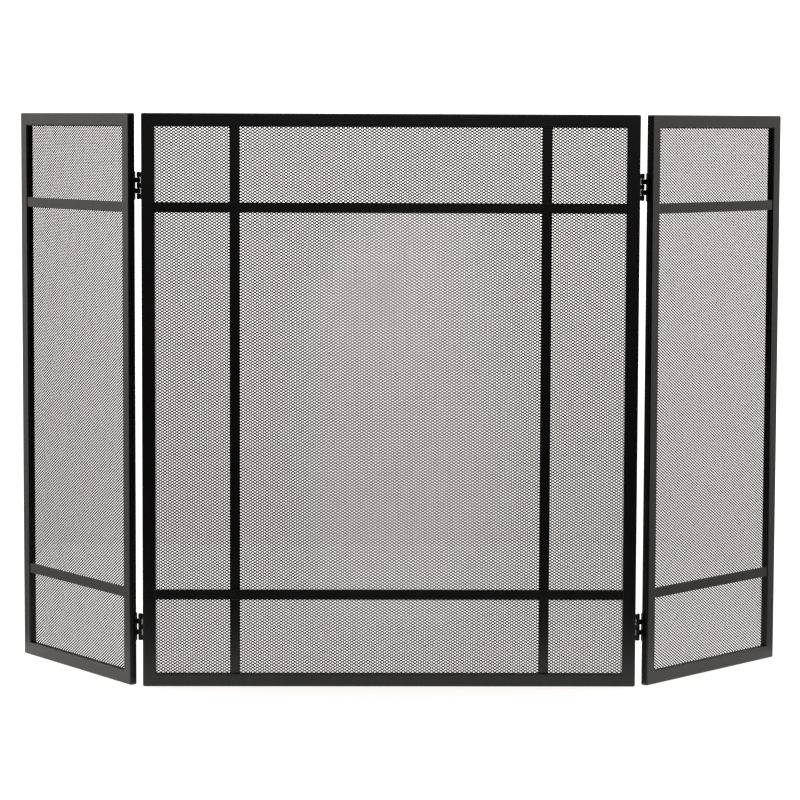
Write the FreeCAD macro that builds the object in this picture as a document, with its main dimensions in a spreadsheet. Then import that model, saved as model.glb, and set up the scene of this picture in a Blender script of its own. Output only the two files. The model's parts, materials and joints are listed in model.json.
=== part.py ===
import FreeCAD, Part
import Sketcher
import math
import os

# Folding fireplace screen: a wide centre panel and two narrower wings, hinged at their backs.
# Frame: X to the right, Y towards the hearth, Z up; the front faces -Y and the rails stand on Z = 0.
# The origin is under the middle of the centre panel, at the middle of its tubes' depth.

DRIVING_SIZES = {
    "panel_height": 838,
    "centre_width": 723,
    "wing_width": 330,
    "panel_gap": 9,
    "left_wing_angle": 56,
    "right_wing_angle": 48,
    "tube_face": 19.5,
    "tube_depth": 11.5,
    "tube_wall": 1.2,
    "tube_edge_radius": 2,
    "frame_corner_radius": 2.5,
    "bar_width": 15,
    "bar_thickness": 3,
    "bar_recess": 1,
    "bar_edge_radius": 0.5,
    "bar_from_end": 136,
    "bar_from_side": 135,
    "mesh_thickness": 0.5,
    "mesh_overlap": 4.5,
    "hinge_from_top": 105,
    "hinge_from_floor": 86.5,
    "leaf_height": 41,
    "leaf_reach": 17.75,
    "leaf_thickness": 1.2,
    "leaf_corner_radius": 3,
    "leaf_flare": 2,
    "leaf_scallop_height": 13,
    "leaf_scallop_radius": 7.5,
    "leaf_clearance": 0.35,
    "barrel_radius": 3,
    "barrel_height": 39,
    "knuckle_gap": 0.3,
    "wing_leaf_notch": 5.2,
    "pin_radius": 1.3,
    "pin_clearance": 0.05,
    "pin_head_radius": 2.3,
    "pin_head_height": 0.8,
    "screw_from_axis": 12,
    "screw_spacing": 27,
    "screw_radius": 1.7,
    "screw_clearance": 0.1,
    "screw_length": 6,
    "screw_head_radius": 3,
    "screw_head_top_radius": 2,
    "screw_head_height": 0.8,
    "recess_reach": 1.4,
    "recess_width": 0.7,
    "recess_depth": 0.6,
}

KNUCKLES = 5
EDGE_TOLERANCE = 1e-4
SKETCH_TOLERANCE = 1e-3
ORIGIN_POINT = -1
X_AXIS = -1
Y_AXIS = -2


class Size:
    """A length that carries its sheet formula along with its number."""

    def __init__(self, formula, number):
        self.formula = formula
        self.number = number

    def joined(self, sign, other, number):
        return Size(f"({self.formula} {sign} {other.formula})", number)

    def __add__(self, other):
        other = as_size(other)
        return self.joined("+", other, self.number + other.number)

    def __sub__(self, other):
        other = as_size(other)
        return self.joined("-", other, self.number - other.number)

    def __mul__(self, other):
        other = as_size(other)
        return self.joined("*", other, self.number * other.number)

    def __truediv__(self, other):
        other = as_size(other)
        return self.joined("/", other, self.number / other.number)

    def __radd__(self, other):
        return as_size(other) + self

    def __rsub__(self, other):
        return as_size(other) - self

    def __rmul__(self, other):
        return as_size(other) * self

    def __neg__(self):
        return as_size(0) - self


def as_size(value):
    if isinstance(value, Size):
        return value
    return Size(f"({value:.6f})", float(value))


def make_sheet(doc):
    sheet = doc.addObject("Spreadsheet::Sheet", "sizes")
    for row, (alias, value) in enumerate(DRIVING_SIZES.items(), start=1):
        sheet.set(f"A{row}", alias)
        sheet.set(f"B{row}", str(value))
        sheet.setAlias(f"B{row}", alias)
    doc.recompute()
    return sheet


def sheet_size(alias):
    return Size(f"sizes.{alias}", float(DRIVING_SIZES[alias]))


def bind(target, name, value):
    target.setExpression(name, as_size(value).formula)


def new_body(doc, label):
    body = doc.addObject("PartDesign::Body", label)
    body.Label = label
    return body


def origin_plane(body, role):
    for feature in body.Origin.OriginFeatures:
        if feature.Role == role:
            return feature
    raise ValueError(role)


def new_sketch(body, role, name, offset=None):
    """A sketch on one of the body's own planes, moved along the plane's normal by offset."""
    sketch = body.newObject("Sketcher::SketchObject", name)
    sketch.AttachmentSupport = [(origin_plane(body, role), "")]
    sketch.MapMode = "FlatFace"
    if offset is not None:
        bind(sketch, "AttachmentOffset.Base.z", offset)
    return sketch


def place_point(sketch, index, end, along, value):
    """Dimension one sketch point from the sketch origin, along X or Y."""
    value = as_size(value)
    if abs(value.number) < SKETCH_TOLERANCE:
        axis = Y_AXIS if along == "X" else X_AXIS
        sketch.addConstraint(Sketcher.Constraint("PointOnObject", index, end, axis))
        return
    kind = "Distance" + along
    number = sketch.addConstraint(
        Sketcher.Constraint(kind, ORIGIN_POINT, 1, index, end, value.number))
    bind(sketch, f"Constraints[{number}]", value)


def add_arc(sketch, middle, radius, start, stop):
    """The short arc between two points; the numbers of its ends, the start's first."""
    from_angle = math.atan2(start.y - middle.y, start.x - middle.x)
    to_angle = math.atan2(stop.y - middle.y, stop.x - middle.x)
    turn = (to_angle - from_angle) % (2 * math.pi)
    circle = Part.Circle(middle, FreeCAD.Vector(0, 0, 1), radius)
    if turn < math.pi:
        sketch.addGeometry(Part.ArcOfCircle(circle, from_angle, from_angle + turn), False)
        return (1, 2)
    back_turn = 2 * math.pi - turn
    sketch.addGeometry(Part.ArcOfCircle(circle, to_angle, to_angle + back_turn), False)
    return (2, 1)


def draw_loop(sketch, points, arcs=None):
    """A closed outline through points; arcs maps an edge's number to its radius and centre."""
    arcs = arcs or {}
    numbers = [FreeCAD.Vector(as_size(x).number, as_size(y).number, 0) for x, y in points]
    ends = []
    for index, start in enumerate(numbers):
        stop = numbers[(index + 1) % len(numbers)]
        if index in arcs:
            radius, centre = arcs[index]
            middle = FreeCAD.Vector(centre[0], centre[1], 0)
            ends.append(add_arc(sketch, middle, as_size(radius).number, start, stop))
        else:
            sketch.addGeometry(Part.LineSegment(start, stop), False)
            ends.append((1, 2))
    for index in range(len(numbers)):
        after = (index + 1) % len(numbers)
        sketch.addConstraint(
            Sketcher.Constraint("Coincident", index, ends[index][1], after, ends[after][0]))
    for index, (x, y) in enumerate(points):
        place_point(sketch, index, ends[index][0], "X", x)
        place_point(sketch, index, ends[index][0], "Y", y)
    for index, (radius, _) in arcs.items():
        number = sketch.addConstraint(
            Sketcher.Constraint("Radius", index, as_size(radius).number))
        bind(sketch, f"Constraints[{number}]", radius)


def draw_circle(sketch, x, y, radius):
    centre = FreeCAD.Vector(as_size(x).number, as_size(y).number, 0)
    normal = FreeCAD.Vector(0, 0, 1)
    index = sketch.addGeometry(Part.Circle(centre, normal, as_size(radius).number), False)
    place_point(sketch, index, 3, "X", x)
    place_point(sketch, index, 3, "Y", y)
    number = sketch.addConstraint(Sketcher.Constraint("Radius", index, as_size(radius).number))
    bind(sketch, f"Constraints[{number}]", radius)


def box_points(x_low, x_high, y_low, y_high):
    return [(x_low, y_low), (x_high, y_low), (x_high, y_high), (x_low, y_high)]


def add_pad(body, sketch, name, length, both_ways=True, backwards=False):
    pad = body.newObject("PartDesign::Pad", name)
    pad.Profile = sketch
    bind(pad, "Length", length)
    pad.Midplane = both_ways
    pad.Reversed = backwards
    sketch.Visibility = False
    body.Document.recompute()
    return pad


def add_through_pocket(body, sketch, name):
    """A pocket right through the solid, both ways, which has to take some volume away."""
    before = body.Shape.Volume
    pocket = body.newObject("PartDesign::Pocket", name)
    pocket.Profile = sketch
    pocket.Type = "ThroughAll"
    pocket.Midplane = True
    sketch.Visibility = False
    body.Document.recompute()
    if body.Shape.Volume >= before:
        raise ValueError(f"{body.Label} {name} cuts nothing")
    return pocket


def edges_along(shape, direction):
    """Names of the straight edges that run along a direction."""
    names = []
    for number, edge in enumerate(shape.Edges, start=1):
        if not isinstance(edge.Curve, Part.Line):
            continue
        if edge.Curve.Direction.cross(direction).Length < EDGE_TOLERANCE:
            names.append(f"Edge{number}")
    return names


def add_fillet(body, base, names, name, radius):
    fillet = body.newObject("PartDesign::Fillet", name)
    fillet.Base = (base, names)
    bind(fillet, "Radius", radius)
    body.Document.recompute()
    return fillet


# Frame tubes: rectangular steel tube, mitred at both ends, one to each side of a panel.

def tube_points(low, high, outer, inward):
    """A mitred tube's outline as (along, across) points, its outer edge's tips rounded."""
    face = sheet_size("tube_face")
    radius = sheet_size("frame_corner_radius")
    tip = radius * (1 - math.sqrt(0.5))
    inner = outer + inward * face
    points = [
        (low + face, inner),
        (high - face, inner),
        (high - tip, outer + inward * tip),
        (high - radius, outer),
        (low + radius, outer),
        (low + tip, outer + inward * tip),
    ]
    across = (outer + inward * radius).number
    centres = {2: ((high - radius).number, across), 4: ((low + radius).number, across)}
    return points, centres


def make_tube(doc, label, low, high, outer, inward, upright):
    """A tube from low to high along its length; outer is the place of its outer face."""
    depth = sheet_size("tube_depth")
    wall = sheet_size("tube_wall")
    face = sheet_size("tube_face")
    points, centres = tube_points(low, high, outer, inward)
    if upright:
        points = [(across, along) for along, across in points]
        centres = {index: (across, along) for index, (along, across) in centres.items()}
    arcs = {index: (sheet_size("frame_corner_radius"), place) for index, place in centres.items()}
    body = new_body(doc, label)
    outline = new_sketch(body, "XZ_Plane", label + "_outline")
    draw_loop(outline, points, arcs)
    pad = add_pad(body, outline, label + "_pad", depth)
    length_axis = FreeCAD.Vector(0, 0, 1) if upright else FreeCAD.Vector(1, 0, 0)
    edges = edges_along(pad.Shape, length_axis)
    add_fillet(body, pad, edges, label + "_rounded_edges", sheet_size("tube_edge_radius"))
    hollow = new_sketch(body, "XY_Plane" if upright else "YZ_Plane", label + "_hollow_outline")
    near = outer + inward * wall
    far = outer + inward * (face - wall)
    half = depth / 2 - wall
    if upright:
        draw_loop(hollow, box_points(near, far, -half, half))
    else:
        draw_loop(hollow, box_points(-half, half, near, far))
    add_through_pocket(body, hollow, label + "_hollow")
    return body


def drill_stile(body, side):
    """Screw holes through a stile for its two hinges; side points from the hinge to the stile."""
    sketch = new_sketch(body, "XZ_Plane", body.Label + "_screw_hole_outline")
    radius = sheet_size("screw_radius") + sheet_size("screw_clearance")
    reach = sheet_size("screw_from_axis")
    axis = hinge_axis_in_panel(body.Label)
    for height in hinge_heights():
        for step in (-1, 1):
            draw_circle(sketch, axis + side * reach, height + step * sheet_size("screw_spacing") / 2,
                        radius)
    before = body.Shape.Volume
    pocket = body.newObject("PartDesign::Pocket", body.Label + "_screw_holes")
    pocket.Profile = sketch
    bind(pocket, "Length", sheet_size("tube_depth"))
    pocket.Reversed = False
    sketch.Visibility = False
    body.Document.recompute()
    if body.Shape.Volume >= before:
        raise ValueError(f"{body.Label} screw holes cut nothing")


def hinge_heights():
    top = sheet_size("panel_height") - sheet_size("hinge_from_top")
    return [top, sheet_size("hinge_from_floor")]


def hinge_axis_x():
    return sheet_size("centre_width") / 2 + sheet_size("panel_gap") / 2


def hinge_axis_y():
    return sheet_size("tube_depth") / 2 + sheet_size("barrel_radius")


def hinge_axis_in_panel(label):
    """Where the hinge axis is along X in the frame that the panel is drawn in."""
    if label.startswith("centre_left"):
        return -hinge_axis_x()
    if label.startswith("centre_right"):
        return hinge_axis_x()
    return as_size(0)


# Flat bars: strips that cross the opening, the level ones in front of the upright ones.

def make_bar(doc, label, low, high, middle, front, upright):
    half = sheet_size("bar_width") / 2
    thickness = sheet_size("bar_thickness")
    body = new_body(doc, label)
    outline = new_sketch(body, "XZ_Plane", label + "_outline", -front)
    if upright:
        draw_loop(outline, box_points(middle - half, middle + half, low, high))
    else:
        draw_loop(outline, box_points(low, high, middle - half, middle + half))
    pad = add_pad(body, outline, label + "_pad", thickness, both_ways=False, backwards=True)
    length_axis = FreeCAD.Vector(0, 0, 1) if upright else FreeCAD.Vector(1, 0, 0)
    edges = edges_along(pad.Shape, length_axis)
    add_fillet(body, pad, edges, label + "_rounded_edges", sheet_size("bar_edge_radius"))
    return body


# Mesh: a plain sheet that lies on the frame's back and covers the opening.

def make_mesh(doc, label, low, high):
    inset = sheet_size("tube_face") - sheet_size("mesh_overlap")
    body = new_body(doc, label)
    outline = new_sketch(body, "XZ_Plane", label + "_outline", -(sheet_size("tube_depth") / 2))
    top = sheet_size("panel_height") - inset
    draw_loop(outline, box_points(low + inset, high - inset, inset, top))
    add_pad(body, outline, label + "_pad", sheet_size("mesh_thickness"), both_ways=False,
            backwards=True)
    return body


# Panels: four tubes, the flat bars and the mesh. The wings share one recipe.

def place_on_wing(body, side):
    """Turn a wing's piece about the hinge axis, from level with the centre panel to its rest."""
    angle = f"sizes.{'left' if side < 0 else 'right'}_wing_angle * 1 deg"
    back = hinge_axis_y().formula
    body.setExpression("Placement.Base.x", f"{side} * {hinge_axis_x().formula}"
                       f" + {side} * {back} * sin({angle})")
    body.setExpression("Placement.Base.y", f"{back} - {back} * cos({angle})")
    body.setExpression("Placement.Rotation.Angle", f"{side} * {angle}")
    return body


def make_frame(doc, prefix, low, high, names):
    """The four mitred tubes round one panel; names are those of the low and high stiles."""
    height = sheet_size("panel_height")
    floor = as_size(0)
    return [
        make_tube(doc, prefix + "_top_rail", low, high, height, -1, False),
        make_tube(doc, prefix + "_bottom_rail", low, high, floor, 1, False),
        make_tube(doc, prefix + names[0], floor, height, low, 1, True),
        make_tube(doc, prefix + names[1], floor, height, high, -1, True),
    ]


def make_level_bars(doc, prefix, low, high):
    face = sheet_size("tube_face")
    inset = sheet_size("bar_from_end")
    front = sheet_size("bar_recess") - sheet_size("tube_depth") / 2
    heights = {"_upper_bar": sheet_size("panel_height") - inset, "_lower_bar": inset}
    return [make_bar(doc, prefix + name, low + face, high - face, middle, front, False)
            for name, middle in heights.items()]


def make_centre_panel(doc):
    half = sheet_size("centre_width") / 2
    face = sheet_size("tube_face")
    tubes = make_frame(doc, "centre", -half, half, ("_left_stile", "_right_stile"))
    drill_stile(tubes[2], 1)
    drill_stile(tubes[3], -1)
    bars = make_level_bars(doc, "centre", -half, half)
    behind = (sheet_size("bar_recess") + sheet_size("bar_thickness")
              - sheet_size("tube_depth") / 2)
    reach = half - sheet_size("bar_from_side")
    top = sheet_size("panel_height") - face
    for name, middle in (("centre_left_bar", -reach), ("centre_right_bar", reach)):
        bars.append(make_bar(doc, name, face, top, middle, behind, True))
    return tubes + bars + [make_mesh(doc, "centre_mesh", -half, half)]


def make_wing(doc, name, side):
    near = sheet_size("panel_gap") / 2
    far = near + sheet_size("wing_width")
    low, high = (near, far) if side > 0 else (-far, -near)
    stiles = ("_inner_stile", "_outer_stile") if side > 0 else ("_outer_stile", "_inner_stile")
    tubes = make_frame(doc, name, low, high, stiles)
    drill_stile(tubes[2] if side > 0 else tubes[3], side)
    pieces = tubes + make_level_bars(doc, name, low, high)
    pieces.append(make_mesh(doc, name + "_mesh", low, high))
    return [place_on_wing(piece, side) for piece in pieces]


# Hinges: two leaves rolled round one pin, screwed to the backs of the stiles.

def knuckle_spans(wing_leaf):
    """Middle height and length of each knuckle that a leaf holds, from the top down."""
    gap = sheet_size("knuckle_gap")
    length = (sheet_size("barrel_height") - gap * (KNUCKLES - 1)) / KNUCKLES
    first = 1 if wing_leaf else 0
    return [((length + gap) * ((KNUCKLES - 1) / 2 - number), length)
            for number in range(first, KNUCKLES, 2)]


def leaf_points(side, wing_leaf):
    """A leaf's outline from its barrel to its scalloped outer edge, as (x, z) points."""
    clear = sheet_size("barrel_radius") + sheet_size("leaf_clearance")
    neck = sheet_size("barrel_height") / 2
    half = sheet_size("leaf_height") / 2
    corner = sheet_size("leaf_corner_radius")
    reach = sheet_size("leaf_reach")
    scallop = sheet_size("leaf_scallop_height") / 2
    shoulder = clear + sheet_size("leaf_flare")
    right = [
        (shoulder, -half),
        (reach - corner, -half),
        (reach, corner - half),
        (reach, -scallop),
        (reach, scallop),
        (reach, half - corner),
        (reach - corner, half),
        (shoulder, half),
    ]
    drop = math.sqrt(DRIVING_SIZES["leaf_scallop_radius"] ** 2
                     - (DRIVING_SIZES["leaf_scallop_height"] / 2) ** 2)
    inset = (reach - corner).number
    level = (half - corner).number
    arcs = {
        1: (corner, (side * inset, -level)),
        3: (sheet_size("leaf_scallop_radius"), (side * (reach.number + drop), 0)),
        5: (corner, (side * inset, level)),
    }
    tongues = tongue_points(clear, neck, wing_leaf)
    points = [(side * x, z) for x, z in right + tongues]
    return points, arcs


def tongue_points(clear, neck, wing_leaf):
    """The leaf's barrel edge, from top to bottom: it reaches the axis only at its knuckles."""
    axis = as_size(0)
    notch = sheet_size("wing_leaf_notch") if wing_leaf else clear
    points = []
    for middle, length in knuckle_spans(wing_leaf):
        top = middle + length / 2
        foot = middle - length / 2
        points += [(notch, top), (axis, top), (axis, foot), (notch, foot)]
    if wing_leaf:
        return [(notch, neck)] + points + [(notch, -neck)]
    return [(clear, neck)] + points[1:-1] + [(clear, -neck)]


def make_leaf(doc, label, side, height, wing_leaf):
    """One hinge leaf with its knuckles; side points from the hinge axis to the leaf."""
    radius = sheet_size("barrel_radius")
    body = new_body(doc, label)
    outline = new_sketch(body, "XZ_Plane", label + "_outline", radius)
    points, arcs = leaf_points(side, wing_leaf)
    draw_loop(outline, points, arcs)
    add_pad(body, outline, label + "_plate", sheet_size("leaf_thickness"), both_ways=False,
            backwards=True)
    for number, (middle, length) in enumerate(knuckle_spans(wing_leaf), start=1):
        ring = new_sketch(body, "XY_Plane", f"{label}_knuckle_{number}_outline", middle)
        draw_circle(ring, 0, 0, radius)
        add_pad(body, ring, f"{label}_knuckle_{number}", length)
    bore = new_sketch(body, "XY_Plane", label + "_bore_outline")
    draw_circle(bore, 0, 0, sheet_size("pin_radius") + sheet_size("pin_clearance"))
    add_through_pocket(body, bore, label + "_bore")
    holes = new_sketch(body, "XZ_Plane", label + "_screw_hole_outline")
    for step in (-1, 1):
        draw_circle(holes, side * sheet_size("screw_from_axis"),
                    step * sheet_size("screw_spacing") / 2,
                    sheet_size("screw_radius") + sheet_size("screw_clearance"))
    add_through_pocket(body, holes, label + "_screw_holes")
    hang_hinge(body, label, height)
    return body


def make_pin(doc, label, height):
    """A hinge pin with a peened head at each end of the barrel."""
    body = new_body(doc, label)
    profile = new_sketch(body, "XZ_Plane", label + "_profile")
    half = sheet_size("barrel_height") / 2
    end = half + sheet_size("pin_head_height")
    radius = sheet_size("pin_radius")
    head = sheet_size("pin_head_radius")
    draw_loop(profile, [(0, -end), (radius, -end), (head, -half), (radius, -half),
                        (radius, half), (head, half), (radius, end), (0, end)])
    turned = body.newObject("PartDesign::Revolution", label + "_turned")
    turned.Profile = profile
    turned.ReferenceAxis = (profile, ["V_Axis"])
    turned.Angle = 360
    profile.Visibility = False
    doc.recompute()
    hang_hinge(body, label, height)
    return body


def hang_hinge(piece, label, height):
    """Move a hinge piece from its own axis to the hinge's place on the screen."""
    side = -1 if "left" in label else 1
    axis_x = side * hinge_axis_x()
    bind(piece, "Placement.Base.x", axis_x)
    bind(piece, "Placement.Base.y", hinge_axis_y())
    bind(piece, "Placement.Base.z", height)
    if "wing_leaf" in label:
        angle = f"sizes.{'left' if side < 0 else 'right'}_wing_angle * 1 deg"
        piece.setExpression("Placement.Rotation.Angle", f"{side} * {angle}")


def make_hinges(doc):
    pieces = []
    for name, side in (("left", -1), ("right", 1)):
        for level, height in zip(("upper", "lower"), hinge_heights()):
            hinge = f"{level}_{name}_hinge"
            pieces.append(make_leaf(doc, hinge + "_centre_leaf", -side, height, False))
            pieces.append(make_leaf(doc, hinge + "_wing_leaf", side, height, True))
            pieces.append(make_pin(doc, hinge + "_pin", height))
    return pieces


# Screws: two through each leaf into the stile behind it, all of a panel's in one group.

def make_screw(doc, label, x, z):
    shank = doc.addObject("Part::Cylinder", label + "_shank")
    head = doc.addObject("Part::Cone", label + "_head")
    leaf_back = sheet_size("tube_depth") / 2 + sheet_size("leaf_thickness")
    bind(shank, "Radius", sheet_size("screw_radius"))
    bind(shank, "Height", sheet_size("screw_length"))
    bind(head, "Radius1", sheet_size("screw_head_radius"))
    bind(head, "Radius2", sheet_size("screw_head_top_radius"))
    bind(head, "Height", sheet_size("screw_head_height"))
    starts = {shank: leaf_back - sheet_size("screw_length"), head: leaf_back}
    for piece, start in starts.items():
        piece.Placement.Rotation = FreeCAD.Rotation(FreeCAD.Vector(1, 0, 0), -90)
        bind(piece, "Placement.Base.x", x)
        bind(piece, "Placement.Base.y", start)
        bind(piece, "Placement.Base.z", z)
    solid = doc.addObject("Part::Fuse", label + "_solid")
    solid.Base = shank
    solid.Tool = head
    solid.Refine = True
    screw = doc.addObject("Part::Cut", label)
    screw.Base = solid
    screw.Tool = make_recess(doc, label, x, z)
    return screw


def make_recess(doc, label, x, z):
    """The cross that a screwdriver fits, sunk in the head."""
    reach = sheet_size("recess_reach")
    width = sheet_size("recess_width")
    head_back = (sheet_size("tube_depth") / 2 + sheet_size("leaf_thickness")
                 + sheet_size("screw_head_height"))
    arms = []
    for name, wide, high in (("level", reach * 2, width), ("upright", width, reach * 2)):
        arm = doc.addObject("Part::Box", f"{label}_{name}_slot")
        bind(arm, "Length", wide)
        bind(arm, "Width", sheet_size("screw_head_height"))
        bind(arm, "Height", high)
        bind(arm, "Placement.Base.x", as_size(x) - wide / 2)
        bind(arm, "Placement.Base.y", head_back - sheet_size("recess_depth"))
        bind(arm, "Placement.Base.z", as_size(z) - high / 2)
        arms.append(arm)
    cross = doc.addObject("Part::Fuse", label + "_recess")
    cross.Base, cross.Tool = arms
    return cross


def make_screw_group(doc, label, columns):
    screws = []
    for x in columns:
        for height in hinge_heights():
            for step in (-1, 1):
                z = height + step * sheet_size("screw_spacing") / 2
                screws.append(make_screw(doc, f"{label}_{len(screws) + 1}", x, z))
    group = doc.addObject("Part::Compound", label)
    group.Links = screws
    group.Label = label
    return group


def make_screws(doc):
    reach = sheet_size("screw_from_axis")
    column = hinge_axis_x() - reach
    left = make_screw_group(doc, "left_hinge_screws", [-reach])
    right = make_screw_group(doc, "right_hinge_screws", [reach])
    return [
        make_screw_group(doc, "centre_hinge_screws", [-column, column]),
        place_on_wing(left, -1),
        place_on_wing(right, 1),
    ]


def check_document(doc, nodes):
    for item in doc.Objects:
        if "Invalid" in item.State or "Error" in item.State:
            raise ValueError(f"{item.Name} failed: {item.State}")
    for node in nodes:
        if node.Shape.isNull() or not node.Shape.isValid():
            raise ValueError(f"{node.Label} has no valid shape")


def main():
    doc = FreeCAD.newDocument("fireplace_screen")
    make_sheet(doc)
    nodes = make_centre_panel(doc)
    nodes += make_wing(doc, "left", -1)
    nodes += make_wing(doc, "right", 1)
    nodes += make_hinges(doc)
    nodes += make_screws(doc)
    doc.recompute()
    check_document(doc, nodes)
    os.makedirs("parts", exist_ok=True)
    for node in nodes:
        node.Shape.exportStep(f"parts/{node.Label}.step")
        box = node.Shape.BoundBox
        print(f"{node.Label}: {len(node.Shape.Solids)} solids, {node.Shape.Volume:.0f} mm3, "
              f"X {box.XMin:.1f} {box.XMax:.1f}, Y {box.YMin:.1f} {box.YMax:.1f}, "
              f"Z {box.ZMin:.1f} {box.ZMax:.1f}")


main()
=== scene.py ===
import json
import math

import bmesh
import bpy
from mathutils import Matrix, Vector


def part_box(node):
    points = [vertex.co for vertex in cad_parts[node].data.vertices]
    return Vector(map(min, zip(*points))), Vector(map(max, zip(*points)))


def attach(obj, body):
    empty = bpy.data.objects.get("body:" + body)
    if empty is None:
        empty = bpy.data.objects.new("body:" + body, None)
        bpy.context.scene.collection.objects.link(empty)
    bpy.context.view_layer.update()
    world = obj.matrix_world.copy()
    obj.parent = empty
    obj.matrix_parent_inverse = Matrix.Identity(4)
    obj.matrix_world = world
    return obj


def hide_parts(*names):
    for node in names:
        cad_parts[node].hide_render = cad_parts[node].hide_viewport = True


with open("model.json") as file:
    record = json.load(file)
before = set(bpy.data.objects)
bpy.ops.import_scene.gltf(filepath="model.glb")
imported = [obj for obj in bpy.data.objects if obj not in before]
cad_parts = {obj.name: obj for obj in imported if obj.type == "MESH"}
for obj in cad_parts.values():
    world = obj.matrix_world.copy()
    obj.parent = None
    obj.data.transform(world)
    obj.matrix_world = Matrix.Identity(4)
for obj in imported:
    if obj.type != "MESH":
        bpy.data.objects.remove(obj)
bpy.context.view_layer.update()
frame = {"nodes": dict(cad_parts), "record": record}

MM = 0.001


# ---------------------------------------------------------------- shader building

class Flow:
    """A shader socket that can be added, multiplied and passed on to other nodes."""

    def __init__(self, tree, socket):
        self.tree = tree
        self.socket = socket

    def math(self, operation, *values):
        return node(self.tree, "ShaderNodeMath", {"operation": operation}, values)

    def __add__(self, other):
        return self.math("ADD", self, other)

    def __radd__(self, other):
        return self.math("ADD", other, self)

    def __sub__(self, other):
        return self.math("SUBTRACT", self, other)

    def __rsub__(self, other):
        return self.math("SUBTRACT", other, self)

    def __mul__(self, other):
        return self.math("MULTIPLY", self, other)

    def __rmul__(self, other):
        return self.math("MULTIPLY", other, self)

    def ramp(self, low, high):
        """0 below low, 1 above high, smooth between."""
        settings = {"interpolation_type": "SMOOTHSTEP"}
        return node(self.tree, "ShaderNodeMapRange", settings, [self, low, high, 0.0, 1.0])

    def axes(self):
        """The X, Y and Z of a place or a direction."""
        return [node(self.tree, "ShaderNodeSeparateXYZ", None, [self], axis) for axis in "XYZ"]

    def drives(self, socket):
        """Feed this value to a socket of a shader or an output."""
        self.tree.links.new(self.socket, socket)


def node(tree, kind, settings=None, inputs=(), output=0):
    """Add a node, set its settings first, then its sockets by order or by name."""
    made = tree.nodes.new(kind)
    for name, value in (settings or {}).items():
        setattr(made, name, value)
    pairs = inputs.items() if isinstance(inputs, dict) else enumerate(inputs)
    for key, value in pairs:
        if isinstance(value, Flow):
            value.drives(made.inputs[key])
        else:
            made.inputs[key].default_value = value
    return Flow(tree, made.outputs[output])


MIX_FACTOR, MIX_FIRST_COLOUR, MIX_SECOND_COLOUR, MIXED_COLOUR = 0, 6, 7, 2


def mix_colour(tree, factor, first, second):
    """Mix two colours; the Mix node keeps its colour sockets after its number and vector ones."""
    sockets = {MIX_FACTOR: factor, MIX_FIRST_COLOUR: first, MIX_SECOND_COLOUR: second}
    return node(tree, "ShaderNodeMix", {"data_type": "RGBA"}, sockets, MIXED_COLOUR)


def noise(tree, scale, detail=2.0, roughness=0.5):
    """A cloudy pattern from 0 to 1, set in the piece's own space."""
    place = node(tree, "ShaderNodeTexCoord", None, (), "Object")
    return node(tree, "ShaderNodeTexNoise", None,
                {"Vector": place, "Scale": scale, "Detail": detail, "Roughness": roughness})


def bump(tree, strength, depth, height):
    return node(tree, "ShaderNodeBump", None,
                {"Strength": strength, "Distance": depth, "Height": height})


def shader_of(tree, kind):
    return next(n for n in tree.nodes if n.type == kind)


def new_material(name):
    """A material, its node tree and its shader."""
    material = bpy.data.materials.new(name)
    material.use_nodes = True
    return material, material.node_tree, shader_of(material.node_tree, "BSDF_PRINCIPLED")


# ---------------------------------------------------------------- finishes

CLOUD_SCALE = 14.0
PEEL_SCALE = 420.0
GRAIN_SCALE = 900.0
DUST_SCALE = 2300.0
CLOUD_RANGE = (0.35, 0.7)
DUST_RANGE = (0.66, 0.78)
DUST_COLOUR = (0.09, 0.088, 0.085, 1.0)
NOISE_MIDDLE = 0.5
CLOUD_ROUGHNESS = 0.12
GRAIN_ROUGHNESS = 0.10
GRAIN_HEIGHT = 0.35
PEEL_DEPTH = 0.12 * MM


def powder_coat(name, dark, light, roughness, pebble, dust, shine=0.5):
    """Satin black powder coat: orange-peel pebble, patchy sheen and a trace of dust."""
    material, tree, shader = new_material(name)
    cloud = noise(tree, CLOUD_SCALE, detail=3.0)
    grain = noise(tree, GRAIN_SCALE)
    peel = noise(tree, PEEL_SCALE, detail=1.5)
    specks = noise(tree, DUST_SCALE, detail=1.0).ramp(*DUST_RANGE) * dust
    tone = mix_colour(tree, cloud.ramp(*CLOUD_RANGE), dark, light)
    mix_colour(tree, specks, tone, DUST_COLOUR).drives(shader.inputs["Base Color"])
    patchy = (cloud - NOISE_MIDDLE) * CLOUD_ROUGHNESS + (grain - NOISE_MIDDLE) * GRAIN_ROUGHNESS
    (roughness + patchy).drives(shader.inputs["Roughness"])
    pebbled = bump(tree, pebble, PEEL_DEPTH, peel + grain * GRAIN_HEIGHT)
    pebbled.drives(shader.inputs["Normal"])
    shader.inputs["Specular IOR Level"].default_value = shine
    return material


RUB_SCALE = 900.0
RUB_RANGE = (0.56, 0.68)
BLACKING = (0.02, 0.02, 0.021, 1.0)
BARE_STEEL = (0.26, 0.255, 0.25, 1.0)
RUB_METAL = 0.9
BLACKING_ROUGHNESS = 0.42
RUB_POLISH = 0.08
SCRATCH_SCALE = 1500.0
SCRATCH_STRENGTH = 0.3
SCRATCH_DEPTH = 0.1 * MM


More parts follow.
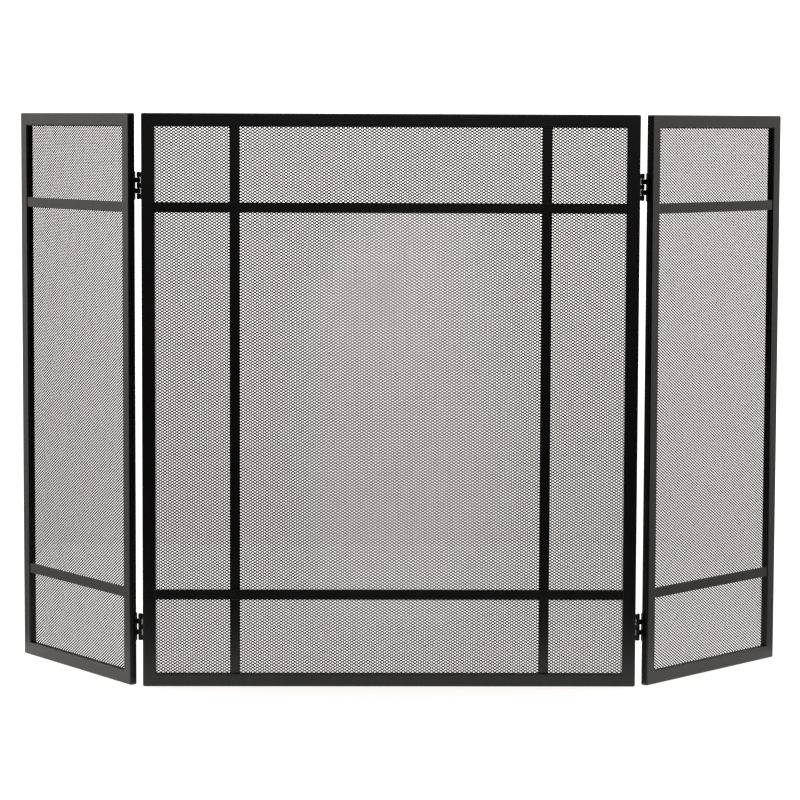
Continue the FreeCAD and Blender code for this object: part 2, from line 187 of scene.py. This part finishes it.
def worn_steel(name):
    """Blackened hardware, rubbed to bare steel in small patches."""
    material, tree, shader = new_material(name)
    rub = noise(tree, RUB_SCALE, detail=4.0, roughness=0.6).ramp(*RUB_RANGE)
    mix_colour(tree, rub, BLACKING, BARE_STEEL).drives(shader.inputs["Base Color"])
    (rub * RUB_METAL).drives(shader.inputs["Metallic"])
    (BLACKING_ROUGHNESS - rub * RUB_POLISH).drives(shader.inputs["Roughness"])
    scratched = bump(tree, SCRATCH_STRENGTH, SCRATCH_DEPTH, noise(tree, SCRATCH_SCALE))
    scratched.drives(shader.inputs["Normal"])
    return material


FINISHES = {
    "frame_tube": powder_coat("satin_black_tube",
                              dark=(0.0035, 0.0035, 0.0038, 1), light=(0.006, 0.0058, 0.0056, 1),
                              roughness=0.34, pebble=0.35, dust=0.25),
    "flat_bar": powder_coat("satin_black_bar",
                            dark=(0.003, 0.003, 0.0032, 1), light=(0.005, 0.0048, 0.0046, 1),
                            roughness=0.35, pebble=0.35, dust=0.2),
    "mesh": powder_coat("satin_black_mesh",
                        dark=(0.0045, 0.004, 0.0038, 1), light=(0.008, 0.0073, 0.0068, 1),
                        roughness=0.38, pebble=0.25, dust=0.15, shine=0.2),
    "hinge_leaf": powder_coat("satin_black_hinge",
                              dark=(0.003, 0.003, 0.003, 1), light=(0.005, 0.005, 0.005, 1),
                              roughness=0.28, pebble=0.30, dust=0.2),
    "hinge_pin": worn_steel("worn_black_pin"),
    "screw": worn_steel("worn_black_screw"),
}


def finish_cad_nodes():
    """Give each piece from the CAD the finish that its record row names."""
    slots = {part["node"]: part["material_slot"] for part in frame["record"]["subparts"]}
    for name, piece in frame["nodes"].items():
        piece.data.materials.clear()
        piece.data.materials.append(FINISHES[slots[name]])


finish_cad_nodes()


# ---------------------------------------------------------------- expanded metal mesh

DIAMOND_WIDTH = 6.92 * MM
DIAMOND_HEIGHT = 4.30 * MM
BOND_HALF_WIDTH = 1.41 * MM
BOND_HALF_HEIGHT = 0.98 * MM
STRAND_TILT = 0.96 * MM
SHEET_THICKNESS = 0.45 * MM
PLATE_HALF = 0.25 * MM
MERGE_DISTANCE = 0.01 * MM
CORNER_DECIMALS = 6
SPARE_CELLS = 3
PANELS = (("centre", "centre_panel", 5), ("left", "left_wing", 2), ("right", "right_wing", 2))


def corners_in(items):
    return [item for item in items if isinstance(item, bmesh.types.BMVert)]


def everything(mesh):
    return mesh.verts[:] + mesh.edges[:] + mesh.faces[:]


def bond_cell(mesh):
    """One bond and the two strands that rise from it to the bonds above, in the X-Z plane."""
    wide, high = BOND_HALF_WIDTH, BOND_HALF_HEIGHT
    step_x, step_z = DIAMOND_WIDTH / 2, DIAMOND_HEIGHT / 2
    front, back = -STRAND_TILT, STRAND_TILT

    def corner(x, y, z):
        return mesh.verts.new((x, y, z))

    right, left = corner(wide, 0, 0), corner(-wide, 0, 0)
    top, foot = corner(0, front, high), corner(0, back, -high)
    mesh.faces.new((foot, right, top, left))
    for side in (1, -1):
        base = right if side > 0 else left
        above_foot = corner(side * step_x, back, step_z - high)
        above_near = corner(side * (step_x - wide), 0, step_z)
        strand = [base, above_foot, above_near, top]
        mesh.faces.new(strand if side > 0 else strand[::-1])


def first_copies(items, wanted, made):
    """The first wanted of the made copies: their faces, with the edges and corners they use."""
    faces = [item for item in items if isinstance(item, bmesh.types.BMFace)]
    kept = faces[:len(faces) * wanted // made]
    edges = {edge for face in kept for edge in face.edges}
    corners = {corner for face in kept for corner in face.verts}
    return list(corners) + list(edges) + kept


def repeat(mesh, count, step):
    """Copy everything in the mesh along step, to count copies in all, by doubling."""
    made = 1
    copies = everything(mesh)
    while made < count:
        more = min(made, count - made)
        source = copies if more == made else first_copies(copies, more, made)
        new = bmesh.ops.duplicate(mesh, geom=source)["geom"]
        bmesh.ops.translate(mesh, verts=corners_in(new), vec=step * made)
        copies = copies + new
        made += more


def expanded_sheet(width, low, high):
    """Expanded metal from -width/2 to width/2 and from low to high, one layer thick.

    It is made with spare cells all round, merged at its bonds, and trimmed to size.
    """
    mesh = bmesh.new()
    bond_cell(mesh)
    next_row = bmesh.ops.duplicate(mesh, geom=everything(mesh))["geom"]
    bmesh.ops.translate(mesh, verts=corners_in(next_row),
                        vec=(DIAMOND_WIDTH / 2, 0, DIAMOND_HEIGHT / 2))
    columns = 2 * math.ceil(width / 2 / DIAMOND_WIDTH) + SPARE_CELLS
    rows = math.ceil((high - low) / DIAMOND_HEIGHT) + SPARE_CELLS
    repeat(mesh, columns, Vector((DIAMOND_WIDTH, 0, 0)))
    bmesh.ops.remove_doubles(mesh, verts=mesh.verts, dist=MERGE_DISTANCE)
    repeat(mesh, rows, Vector((0, 0, DIAMOND_HEIGHT)))
    first_row = math.floor(low / DIAMOND_HEIGHT) - 1
    start = Vector((-(columns // 2) * DIAMOND_WIDTH, 0, first_row * DIAMOND_HEIGHT))
    bmesh.ops.translate(mesh, verts=mesh.verts, vec=start)
    bmesh.ops.remove_doubles(mesh, verts=mesh.verts, dist=MERGE_DISTANCE)
    cuts = [((width / 2, 0, 0), (1, 0, 0)), ((-width / 2, 0, 0), (-1, 0, 0)),
            ((0, 0, high), (0, 0, 1)), ((0, 0, low), (0, 0, -1))]
    for place, outward in cuts:
        bmesh.ops.bisect_plane(mesh, geom=everything(mesh), dist=MERGE_DISTANCE, plane_co=place,
                               plane_no=outward, clear_outer=True)
    return mesh


def sheet_run(piece):
    """The level run of a flat upright sheet, from the middle of its left end to its right."""
    corners = sorted({(round(v.co.x, CORNER_DECIMALS), round(v.co.y, CORNER_DECIMALS))
                      for v in piece.data.vertices})
    near, far, last, next_to_last = (Vector(corners[n]) for n in (0, 1, -1, -2))
    return (last + next_to_last) / 2 - (near + far) / 2


def panel_placement(low, high, run):
    """Where a panel's mesh lies: against the frame's back, turned with its panel about Z."""
    middle = (low + high) / 2
    middle.z = 0
    turned = Matrix.Translation(middle) @ Matrix.Rotation(math.atan2(run.y, run.x), 4, "Z")
    return turned @ Matrix.Translation((0, STRAND_TILT + SHEET_THICKNESS / 2 - PLATE_HALF, 0))


def band_edges(low, high, bands):
    """The heights where a panel's mesh is split, each at a row of bonds."""
    rows = round((high - low) / bands / DIAMOND_HEIGHT)
    first_row = math.floor(low / DIAMOND_HEIGHT)
    splits = [(first_row + rows * band) * DIAMOND_HEIGHT for band in range(1, bands)]
    return [low] + splits + [high]


def new_object(mesh, name, finish):
    """An object of the scene from a finished bmesh, in one material."""
    data = bpy.data.meshes.new(name)
    mesh.to_mesh(data)
    mesh.free()
    data.materials.append(finish)
    made = bpy.data.objects.new(name, data)
    bpy.context.scene.collection.objects.link(made)
    return made


def thicken(piece):
    """Give a one-layer sheet its metal thickness, half to each side."""
    solid = piece.modifiers.new("thickness", "SOLIDIFY")
    solid.thickness = SHEET_THICKNESS
    solid.offset = 0.0
    solid.use_even_offset = False


def make_mesh_panel(panel, body, bands):
    """A panel's mesh, as bands of expanded metal one above the other."""
    sheet = panel + "_mesh"
    low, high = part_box(sheet)
    run = sheet_run(frame["nodes"][sheet])
    placement = panel_placement(low, high, run)
    edges = band_edges(low.z, high.z, bands)
    for number, (foot, top) in enumerate(zip(edges, edges[1:]), start=1):
        mesh = expanded_sheet(run.length, foot, top)
        bmesh.ops.transform(mesh, matrix=placement, verts=mesh.verts)
        piece = new_object(mesh, f"{panel}_expanded_mesh_{number}", FINISHES["mesh"])
        thicken(piece)
        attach(piece, body)
        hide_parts(sheet)


for panel, body, bands in PANELS:
    make_mesh_panel(panel, body, bands)


# ---------------------------------------------------------------- floor, light and camera

WARM_WHITE = (1.0, 0.975, 0.955, 1)

FLOOR_FRONT = -0.24
FLOOR_BACK = 1.5
FLOOR_HALF_WIDTH = 0.65
FLOOR_COLOUR = (0.38, 0.38, 0.38, 1)
FLOOR_ROUGHNESS = 0.9
FLOOR_SHINE = 0.1
FLOOR_GLOW = 0.88


def make_floor():
    """A pale floor under and behind the object; the white studio carries on past its edges."""
    mesh = bmesh.new()
    bmesh.ops.create_grid(mesh, x_segments=1, y_segments=1, size=0.5)
    bmesh.ops.scale(mesh, verts=mesh.verts, vec=(2 * FLOOR_HALF_WIDTH, FLOOR_BACK - FLOOR_FRONT, 1))
    bmesh.ops.translate(mesh, verts=mesh.verts, vec=(0, (FLOOR_BACK + FLOOR_FRONT) / 2, 0))
    material, _, shader = new_material("pale_floor")
    shader.inputs["Base Color"].default_value = FLOOR_COLOUR
    shader.inputs["Roughness"].default_value = FLOOR_ROUGHNESS
    shader.inputs["Specular IOR Level"].default_value = FLOOR_SHINE
    shader.inputs["Emission Color"].default_value = WARM_WHITE
    shader.inputs["Emission Strength"].default_value = FLOOR_GLOW
    new_object(mesh, "floor", material)


# What lights the object: a room that turns from dark to white over FRONT_OF_ROOM, from front to
# back, and is dimmer below the horizon.
FRONT_OF_ROOM = (-0.4, 0.4)
HORIZON = (-0.15, 0.05)
BELOW_HORIZON = 0.55
HORIZON_RISE = 0.83
STUDIO_DARK = 0.02

# What shows behind the object: white, brighter upwards and a little brighter to the right.
BACKDROP_HEIGHT = (-0.2, 0.05)
BACKDROP_WIDTH = (-0.2, 0.2)
STUDIO_WHITE = 1.18
STUDIO_LIFT = 0.8
STUDIO_SLOPE = 0.1


def make_world():
    """A white studio behind and beside the object, dark in front of it."""
    world = bpy.data.worlds.new("studio")
    bpy.context.scene.world = world
    world.use_nodes = True
    tree = world.node_tree
    across, depth, height = node(tree, "ShaderNodeTexCoord", None, (), "Generated").axes()
    seen = node(tree, "ShaderNodeLightPath", None, (), "Is Camera Ray")
    white = depth.ramp(*FRONT_OF_ROOM) * (height.ramp(*HORIZON) * HORIZON_RISE + BELOW_HORIZON)
    glow = white * (1.0 - STUDIO_DARK) + STUDIO_DARK
    slope = across.ramp(*BACKDROP_WIDTH) * STUDIO_SLOPE
    behind = height.ramp(*BACKDROP_HEIGHT) * STUDIO_LIFT + STUDIO_WHITE + slope
    background = shader_of(tree, "BACKGROUND")
    background.inputs["Color"].default_value = WARM_WHITE
    (seen * behind + (1 - seen) * glow).drives(background.inputs["Strength"])


def area_light(name, place, target, size, power):
    """A soft panel of light at a place, facing a target, its size in metres and power in watts."""
    data = bpy.data.lights.new(name, "AREA")
    data.shape = "RECTANGLE"
    data.size, data.size_y = size
    data.energy = power
    light = bpy.data.objects.new(name, data)
    light.location = place
    light.rotation_euler = (Vector(target) - Vector(place)).to_track_quat("-Z", "Y").to_euler()
    bpy.context.scene.collection.objects.link(light)


LENS_MM = 136.5
SENSOR_MM = 36.0
CLIP_END = 100.0
CAMERA_PLACE = (-0.06235, -4.40425, 0.82509)
CAMERA_FORWARD = (0.017302, 0.995697, -0.091043)
CAMERA_RIGHT = (0.999848, -0.017017, 0.003908)


def make_camera():
    """A long lens level with the screen's top, looking slightly down at its middle."""
    data = bpy.data.cameras.new("camera")
    data.lens = LENS_MM
    data.sensor_width = SENSOR_MM
    data.clip_end = CLIP_END
    camera = bpy.data.objects.new("camera", data)
    forward, right = Vector(CAMERA_FORWARD), Vector(CAMERA_RIGHT)
    upward = right.cross(forward)
    turn = Matrix((right, upward, -forward)).transposed().to_4x4()
    camera.matrix_world = Matrix.Translation(CAMERA_PLACE) @ turn
    bpy.context.scene.collection.objects.link(camera)
    bpy.context.scene.camera = camera


make_floor()
make_world()
area_light("front_strip", place=(0.5, -3.2, 1.8), target=(0, 0, 0.8), size=(3.0, 0.3), power=14)
area_light("overhead", place=(0, 1.6, 3.6), target=(0, 0.9, 0), size=(6.0, 4.0), power=150)
make_camera()
bpy.context.scene.view_settings.view_transform = "Standard"
